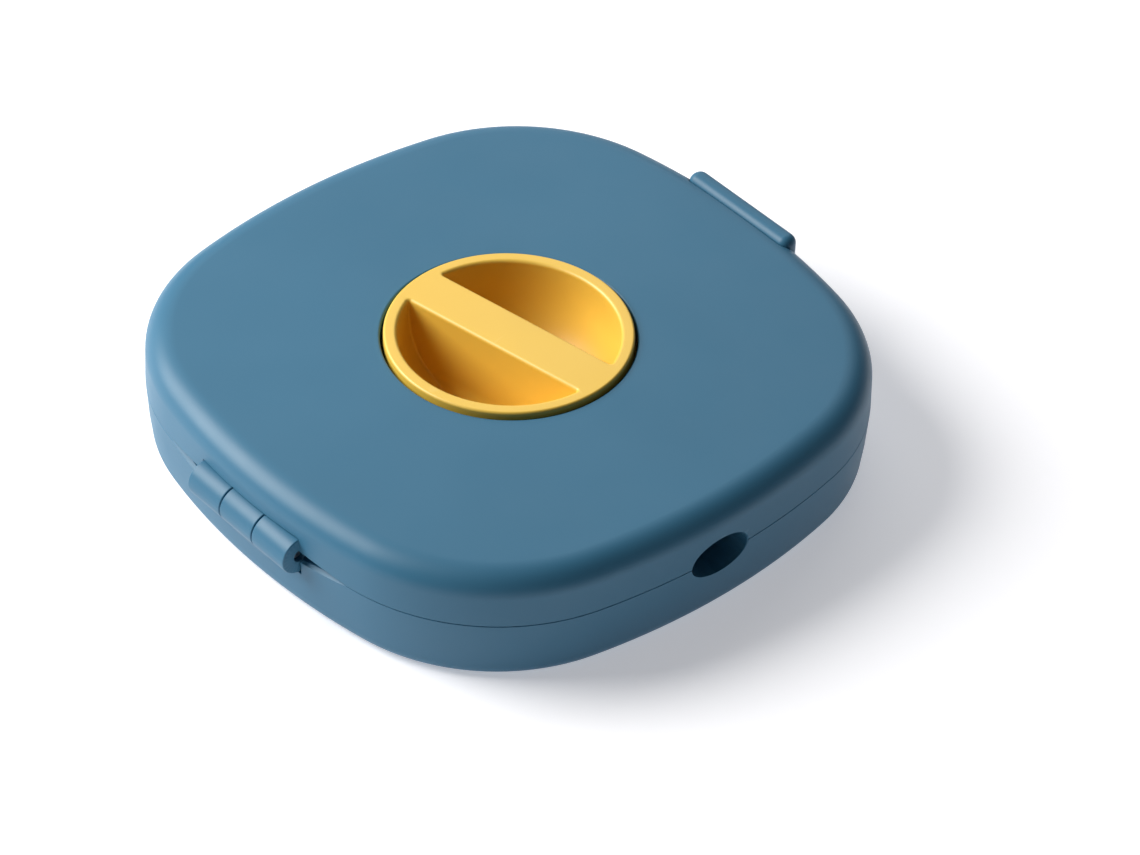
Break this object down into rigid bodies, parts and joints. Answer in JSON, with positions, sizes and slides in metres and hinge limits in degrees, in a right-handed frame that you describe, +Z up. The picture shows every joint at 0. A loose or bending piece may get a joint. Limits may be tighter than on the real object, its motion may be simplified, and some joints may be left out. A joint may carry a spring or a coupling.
{
  "type": "hand-wound cable box",
  "caption": "Rounded-square hinged box that winds a cable on an inner reel, turned by a recessed knob with a finger bar.",
  "frame": {"origin": "centre of the underside of the base", "axes": "+Z up out of the lid, +X from the hinge to the latch, the cable exits on the -Y and +Y sides"},
  "size_m": [0.0993, 0.0948, 0.0193],
  "materials": {
    "case": "satin moulded polypropylene, dusty blue",
    "reel": "satin moulded plastic, warm yellow",
    "steel": "plain bright steel"
  },
  "bodies": {
    "base": {"base_shell": "case", "hinge_pin": "steel"},
    "lid": {"lid_shell": "case"},
    "latch": {"latch_tongue": "case"},
    "reel": {"reel_drum": "reel", "reel_flange": "reel", "axle_washer": "steel", "axle_screw": "steel", "reel_screw_1": "steel", "reel_screw_2": "steel"}
  },
  "joints": [
    {"name": "lid_hinge", "type": "hinge", "parent": "base", "child": "lid", "pos_m": [-0.04675, 0, 0.01035], "axis": [0, -1, 0], "range_deg": [0, 120]},
    {"name": "reel_spin", "type": "hinge", "parent": "base", "child": "reel", "pos_m": [0, 0, 0], "axis": [0, 0, 1], "continuous": true},
    {"name": "latch_flex", "type": "hinge", "parent": "base", "child": "latch", "pos_m": [0.0479, 0.0012, 0.004], "axis": [0, 1, 0], "range_deg": [0, 9], "stiffness_Nm_per_rad": 0.05}
  ]
}
